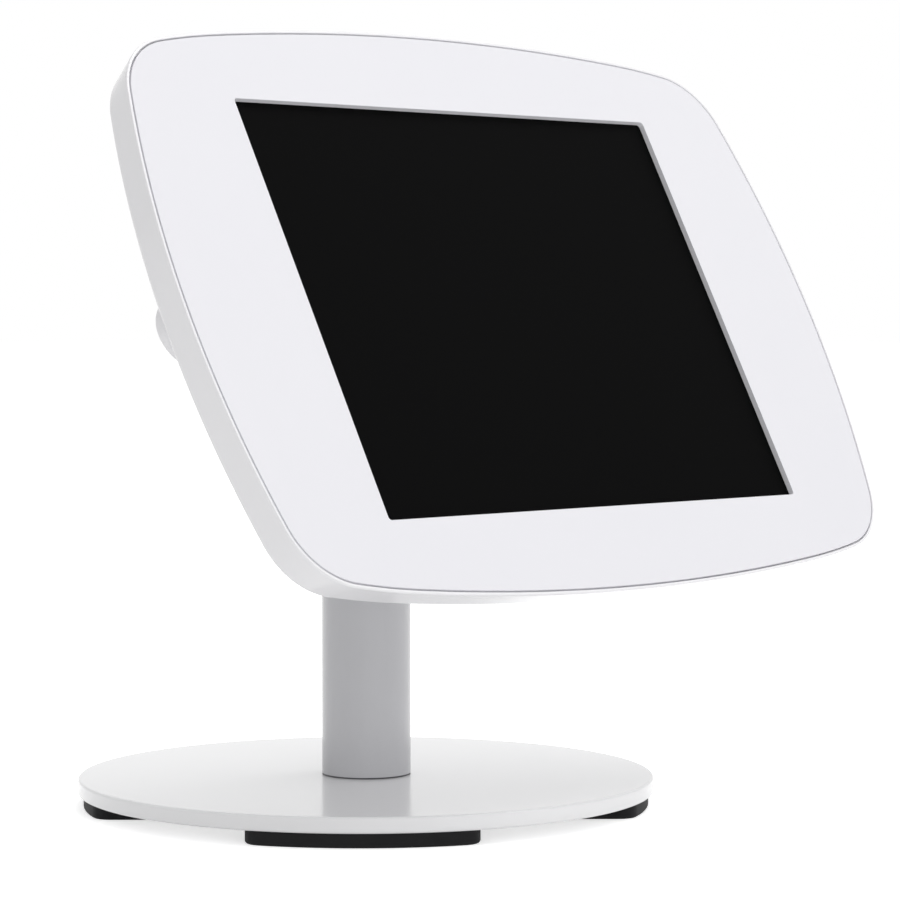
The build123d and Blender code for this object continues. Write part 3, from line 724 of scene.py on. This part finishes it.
def make_face_sheet():
    """Flat sheet with the bowed outline, a sharp-cornered window and eight studs behind it."""
    piece = trace_outline("face_sheet", PLATE_INSET, 0)
    push(0, 0, -PLATE_THICKNESS)
    bpy.ops.mesh.select_all(action="SELECT")
    bpy.ops.mesh.normals_make_consistent(inside=False)
    round_edges(piece, 0, PLATE_EDGE_ROUND, PLATE_EDGE_SEGMENTS)
    bpy.ops.object.mode_set(mode="OBJECT")
    cutter = make_rounded_block(
        "window_cutter",
        width=WINDOW_WIDTH,
        height=WINDOW_HEIGHT,
        front=PLATE_THICKNESS,
        back=-2 * PLATE_THICKNESS,
        corner=WINDOW_CORNER,
        steps=WINDOW_CORNER_STEPS,
    )
    deselect_all()
    apply_modifier(piece, "BOOLEAN", operation="DIFFERENCE", object=cutter, solver="EXACT")
    bpy.data.objects.remove(cutter)
    activate(piece)
    bpy.ops.object.mode_set(mode="EDIT")
    select_part(piece, "EDGE", lambda edge: at_height(0)(edge) and in_window(edge))
    bpy.ops.mesh.bevel(offset=WINDOW_EDGE_ROUND, segments=FINE_EDGE_SEGMENTS, affect="EDGES")
    deselect_all()
    studs = []
    for x, y in STUD_PLACES:
        bpy.ops.mesh.primitive_cylinder_add(
            vertices=SMALL_CIRCLE,
            radius=STUD_RADIUS,
            depth=STUD_LENGTH,
            location=(x, y, HAIR - PLATE_THICKNESS - STUD_LENGTH / 2),
        )
        stud = open_piece("stud")
        round_edges(stud, HAIR - PLATE_THICKNESS - STUD_LENGTH, STUD_TIP_ROUND, FINE_EDGE_SEGMENTS)
        deselect_all()
        studs.append(stud)
    activate(piece)
    for stud in studs:
        stud.select_set(True)
    bpy.ops.object.join()
    return settle(piece, "face", "white_face", "face_plate", place=PANEL_MATRIX)


def in_window(edge):
    """True for edges on the outline of the window."""
    middle = (edge.verts[0].co + edge.verts[1].co) / 2
    return abs(middle.x) < WINDOW_WIDTH / 2 + HAIR and abs(middle.y) < WINDOW_HEIGHT / 2 + HAIR


def arc_stations(inset, depth, radius, start, end):
    """Insets and depths along a rounding of the shell's section, round its centre."""
    angles = [start + (end - start) * step / ROUND_STEPS for step in range(ROUND_STEPS + 1)]
    return [(inset - radius * cos(angle), depth + radius * sin(angle)) for angle in angles]


def take_cap_through(stations):
    """Take the selected cap through insets and depths, leaving one ring of faces at each."""
    bpy.ops.mesh.select_mode(type="FACE")
    for (last_inset, last_depth), (inset, depth) in zip(stations, stations[1:]):
        if inset - last_inset > HAIR:
            bpy.ops.mesh.inset(thickness=inset - last_inset)
            bpy.ops.transform.translate(value=(0, 0, last_depth - depth))
        else:
            push(0, 0, last_depth - depth)


def combine(piece, operation, parts):
    """Join disjoint parts into one tool and add it to the piece or cut it out."""
    activate(parts[0])
    for part in parts:
        part.select_set(True)
    if len(parts) > 1:
        bpy.ops.object.join()
    tool = parts[0]
    apply_modifier(piece, "BOOLEAN", operation=operation, object=tool, solver="EXACT")
    bpy.data.objects.remove(tool)


def make_rod(x, y, radius, front, back, steps=MIDDLE_CIRCLE):
    """A plain cylinder along the enclosure's normal, used to add to the shell or to cut it."""
    bpy.ops.mesh.primitive_cylinder_add(
        vertices=steps, radius=radius, depth=back - front, location=(x, y, -(front + back) / 2)
    )
    rod = open_piece("rod")
    deselect_all()
    return rod


def make_rear_shell():
    """Tray with a rounded rim, drafted walls, ribs, stud sockets and the boss of the lock."""
    inner = [(CAVITY_INSET + depth * tan(DRAFT), depth) for depth in (LEDGE_DEPTH, FLOOR_DEPTH)]
    # the wall curves in from the outermost line, and a finer round leads over to the flat rim
    wall_centre = SHELL_FRONT_ROUND * (1 + sin(DRAFT)) / cos(DRAFT)
    outermost = wall_centre - SHELL_FRONT_ROUND
    rim_centre = outermost + RIM_OUTER_ROUND
    rim = arc_stations(rim_centre, RIM_OUTER_ROUND, RIM_OUTER_ROUND, 0, -pi / 2)
    rim += [(RIM_WIDTH - RIM_EDGE_ROUND, 0), (RIM_WIDTH, RIM_EDGE_ROUND), (RIM_WIDTH, LEDGE_DEPTH)]
    back_centre_depth = SHELL_DEPTH - SHELL_BACK_ROUND
    back_centre = back_centre_depth * tan(DRAFT) + SHELL_BACK_ROUND / cos(DRAFT)
    wall = [(outermost, RIM_OUTER_ROUND)]
    wall += arc_stations(wall_centre, SHELL_FRONT_ROUND, SHELL_FRONT_ROUND, 0, DRAFT)
    wall += arc_stations(back_centre, back_centre_depth, SHELL_BACK_ROUND, DRAFT, pi / 2)
    halves = []
    for name, stations in (("shell_inside", rim + inner), ("shell_outside", wall)):
        half = trace_outline(name, stations[0][0], -stations[0][1])
        take_cap_through(stations)
        deselect_all()
        halves.append(half)
    piece = halves[0]
    activate(piece)
    halves[1].select_set(True)
    bpy.ops.object.join()
    bpy.ops.object.mode_set(mode="EDIT")
    bpy.ops.mesh.select_all(action="SELECT")
    bpy.ops.mesh.remove_doubles(threshold=HAIR)
    # both halves still carry the flat face that they started from, inside the wall
    select_part(piece, "FACE", at_height(-RIM_OUTER_ROUND))
    bpy.ops.mesh.delete(type="ONLY_FACE")
    bpy.ops.mesh.select_all(action="SELECT")
    bpy.ops.mesh.normals_make_consistent(inside=False)
    deselect_all()
    piece.name = "tray_shell"

    lock_x = sum(extent("lock_barrel", X_AXIS)) / 2
    boss_back = SHELL_DEPTH + BOSS_HEIGHT
    boss = make_rod(lock_x, 0, BOSS_RADIUS, back_centre_depth, boss_back, LARGE_CIRCLE)
    activate(boss)
    bpy.ops.object.mode_set(mode="EDIT")
    round_edges(boss, -boss_back, BOSS_ROUND, EDGE_SEGMENTS)
    deselect_all()
    combine(piece, "UNION", [boss])
    for along, (place, length) in enumerate(zip(RIB_PLACES, RIB_LENGTHS)):
        ribs = []
        for side in (-1, 1):
            across = Vector((side * place, 0, 0)) if along == 0 else Vector((0, side * place, 0))
            scale = (RIB_THICKNESS, length) if along == 0 else (length, RIB_THICKNESS)
            bpy.ops.mesh.primitive_cube_add(
                size=1,
                location=(*across.xy, RIB_HEIGHT / 2 - FLOOR_DEPTH),
                scale=(*scale, RIB_HEIGHT + 2 * HAIR),
            )
            ribs.append(open_piece("rib"))
            deselect_all()
        combine(piece, "UNION", ribs)
    socket_front = FLOOR_DEPTH - SOCKET_STAND
    socket_foot = FLOOR_DEPTH + HAIR
    sockets = [make_rod(x, y, SOCKET_RADIUS, socket_front, socket_foot) for x, y in STUD_PLACES]
    combine(piece, "UNION", sockets)
    bores = [
        make_rod(x, y, SOCKET_BORE, socket_front - HAIR, SOCKET_BOTTOM, SMALL_CIRCLE)
        for x, y in STUD_PLACES
    ]
    above_floor = FLOOR_DEPTH - CUT_MARGIN
    below_floor = SHELL_DEPTH + CUT_MARGIN
    below_boss = boss_back + CUT_MARGIN
    lock_seat = boss_back - LOCK_SEAT_DEPTH
    bores.append(make_rod(0, 0, CABLE_HOLE_RADIUS, above_floor, below_floor, LARGE_CIRCLE))
    bores.append(make_rod(lock_x, 0, LOCK_SEAT_RADIUS, lock_seat, below_boss, LARGE_CIRCLE))
    bores += [
        make_rod(x, y, HUB_SCREW_HOLE, above_floor, below_floor, SMALL_CIRCLE)
        for x, y in HUB_SCREW_PLACES
    ]
    combine(piece, "DIFFERENCE", bores)
    seats = []
    for x, y in HUB_SCREW_PLACES:
        bpy.ops.mesh.primitive_cone_add(
            vertices=MIDDLE_CIRCLE,
            radius1=0,
            radius2=HUB_SCREW_SEAT,
            depth=HUB_SCREW_SEAT_DEPTH * HUB_SCREW_SEAT / (HUB_SCREW_SEAT - HUB_SCREW_HOLE),
            location=(x, y, 0),
        )
        seat = open_piece("screw_seat")
        reach = max(vertex.co.z for vertex in bmesh.from_edit_mesh(seat.data).verts)
        bpy.ops.transform.translate(value=(0, 0, HAIR - FLOOR_DEPTH - reach))
        deselect_all()
        seats.append(seat)
    combine(piece, "DIFFERENCE", seats)
    hole = make_rod(lock_x, 0, LOCK_HOLE_RADIUS, above_floor, boss_back, LARGE_CIRCLE)
    activate(hole)
    bpy.ops.object.mode_set(mode="EDIT")
    for side in (-1, 1):
        bpy.ops.mesh.select_all(action="SELECT")
        bpy.ops.mesh.bisect(
            plane_co=(lock_x, side * LOCK_HOLE_FLAT, 0),
            plane_no=(0, side, 0),
            use_fill=True,
            clear_outer=True,
        )
    deselect_all()
    combine(piece, "DIFFERENCE", [hole])
    return settle(piece, "head", "white_shell", "rear_shell", place=PANEL_MATRIX)


def make_hub_plate():
    """Round plate with a rounded back edge, a stepped bore and four blind screw holes."""
    radius = extent("hub_plate", X_AXIS)[1]
    back = PANEL_FRONT - extent("hub_plate", FRONT)[0]
    piece = make_rod(0, 0, radius, SHELL_DEPTH, back, HUB_STEPS)
    piece.name = "hub_disc"
    activate(piece)
    bpy.ops.object.mode_set(mode="EDIT")
    round_edges(piece, -back, HUB_EDGE_ROUND, HUB_EDGE_SEGMENTS)
    deselect_all()
    above_plate = SHELL_DEPTH - CUT_MARGIN
    below_plate = back + CUT_MARGIN
    bore = make_rod(0, 0, CABLE_HOLE_RADIUS, above_plate, below_plate, LARGE_CIRCLE)
    combine(piece, "DIFFERENCE", [bore])
    seats = [make_rod(0, 0, TUBE_SEAT_RADIUS, TUBE_END_DEPTH, below_plate, LARGE_CIRCLE)]
    seats += [
        make_rod(x, y, HUB_SCREW_BORE, above_plate, HUB_SCREW_END_DEPTH, SMALL_CIRCLE)
        for x, y in HUB_SCREW_PLACES
    ]
    combine(piece, "DIFFERENCE", seats)
    # the hub plate shares the post's grey coat and its painted shade
    return settle(piece, "head", "grey_steel", "hub_plate", place=PANEL_MATRIX)


def make_screen_glass():
    """Black cover glass of the tablet, with a fine round along its edge."""
    back, front = (reach - PANEL_FRONT for reach in extent("tablet_glass", FRONT))
    width = 2 * extent("tablet_glass", X_AXIS)[1]
    low, high = extent("tablet_glass", UP_PANEL)
    piece = make_rounded_block(
        "screen_glass", width, high - low, front, back, GLASS_CORNER, GLASS_CORNER_STEPS
    )
    round_edges(piece, front, GLASS_EDGE_ROUND, FINE_EDGE_SEGMENTS)
    return settle(piece, "head", "black_glass", "tablet_glass", place=PANEL_MATRIX)


make_base_disc()
make_feet()
make_post()
make_face_sheet()
make_rear_shell()
make_hub_plate()
make_screen_glass()

MODELLED = {"base_plate", "post_tube", "face_plate", "rear_shell", "hub_plate", "tablet_glass"}
for name in NODES:
    if name not in MODELLED and not name.startswith("foot_"):
        smooth_copy(name, BODY_OF[name])


# ---------------------------------------------------------------- floor, light and camera


def make_ray_mask(nodes, links):
    """One for rays of the camera and of mirror-like and clear surfaces, zero for the rest."""
    path = nodes.new("ShaderNodeLightPath")
    camera_or_glossy = nodes.new("ShaderNodeMath")
    camera_or_glossy.operation = "MAXIMUM"
    any_of_them = nodes.new("ShaderNodeMath")
    any_of_them.operation = "MAXIMUM"
    links.new(path.outputs["Is Camera Ray"], camera_or_glossy.inputs[0])
    links.new(path.outputs["Is Glossy Ray"], camera_or_glossy.inputs[1])
    links.new(camera_or_glossy.outputs[0], any_of_them.inputs[0])
    links.new(path.outputs["Is Transmission Ray"], any_of_them.inputs[1])
    return any_of_them.outputs[0]


def make_floor():
    """Pale floor that looks white, keeps a faint shadow of the object and is clear from below."""
    level = min(extent(name, Z_AXIS)[0] for name in NODES if name.startswith("foot_"))
    bpy.ops.mesh.primitive_plane_add(size=FLOOR_SIZE, location=(0, 0, level))
    floor = bpy.context.object
    floor.name = "pale_floor"
    material = bpy.data.materials.new("pale_floor")
    material.use_nodes = True
    nodes = material.node_tree.nodes
    links = material.node_tree.links
    nodes.clear()
    result = nodes.new("ShaderNodeOutputMaterial")
    matte = nodes.new("ShaderNodeBsdfDiffuse")
    matte.inputs["Color"].default_value = FLOOR_TONE
    lift = nodes.new("ShaderNodeEmission")
    scale = nodes.new("ShaderNodeMath")
    scale.operation = "MULTIPLY"
    scale.inputs[1].default_value = FLOOR_LIFT
    links.new(make_ray_mask(nodes, links), scale.inputs[0])
    links.new(scale.outputs[0], lift.inputs["Strength"])
    both = nodes.new("ShaderNodeAddShader")
    links.new(matte.outputs[0], both.inputs[0])
    links.new(lift.outputs[0], both.inputs[1])
    clear = nodes.new("ShaderNodeBsdfTransparent")
    side = nodes.new("ShaderNodeNewGeometry")
    from_either_side = nodes.new("ShaderNodeMixShader")
    links.new(side.outputs["Backfacing"], from_either_side.inputs["Fac"])
    links.new(both.outputs[0], from_either_side.inputs[1])
    links.new(clear.outputs[0], from_either_side.inputs[2])
    links.new(from_either_side.outputs[0], result.inputs["Surface"])
    floor.data.materials.append(material)
    deselect_all()


def make_world():
    """Pale surroundings, white to the camera and in reflections, softer as light."""
    world = bpy.data.worlds.new("pale_surroundings")
    bpy.context.scene.world = world
    world.use_nodes = True
    nodes = world.node_tree.nodes
    links = world.node_tree.links
    place = nodes.new("ShaderNodeTexCoord")
    across = nodes.new("ShaderNodeSeparateXYZ")
    # as light they are brighter on the right than on the left
    light = nodes.new("ShaderNodeMapRange")
    light.inputs["From Min"].default_value = -1.0
    light.inputs["To Min"].default_value = WORLD_LIGHT_LEFT
    light.inputs["To Max"].default_value = WORLD_LIGHT_RIGHT
    links.new(place.outputs["Generated"], across.inputs["Vector"])
    links.new(across.outputs["X"], light.inputs["Value"])
    strength = nodes.new("ShaderNodeMapRange")
    links.new(light.outputs["Result"], strength.inputs["To Min"])
    strength.inputs["To Max"].default_value = 1.0
    links.new(make_ray_mask(nodes, links), strength.inputs["Value"])
    background = nodes["Background"]
    background.inputs["Color"].default_value = (1, 1, 1, 1)
    links.new(strength.outputs["Result"], background.inputs["Strength"])


def aim(thing, target):
    """Point a lamp or the camera at a place."""
    thing.rotation_euler = (Vector(target) - thing.location).to_track_quat("-Z", "Y").to_euler()


def make_lamp(name, place, size, power, mirrored=True):
    """Large soft square lamp that points at the object and may be left out of reflections."""
    bpy.ops.object.light_add(type="AREA", location=place)
    lamp = bpy.context.object
    lamp.name = name
    lamp.data.shape = "SQUARE"
    lamp.data.size = size
    lamp.data.energy = power
    lamp.visible_glossy = mirrored
    aim(lamp, VIEW_AIM)
    deselect_all()


def make_camera():
    """Long lens, low and about 45 degrees round to the left of the screen."""
    heading = Vector((sin(VIEW_HEADING), cos(VIEW_HEADING), 0))
    sight = heading * cos(VIEW_DIP) - Vector((0, 0, sin(VIEW_DIP)))
    bpy.ops.object.camera_add(location=VIEW_AIM - sight * VIEW_DISTANCE)
    camera = bpy.context.object
    camera.name = "view"
    camera.data.lens = VIEW_LENS
    camera.data.sensor_width = VIEW_SENSOR
    aim(camera, VIEW_AIM)
    bpy.context.scene.camera = camera


make_floor()
make_world()
make_lamp("key_lamp", KEY_PLACE, KEY_SIZE, KEY_POWER)
make_lamp("fill_lamp", FILL_PLACE, FILL_SIZE, FILL_POWER, mirrored=False)
make_camera()
bpy.context.scene.view_settings.view_transform = "Standard"
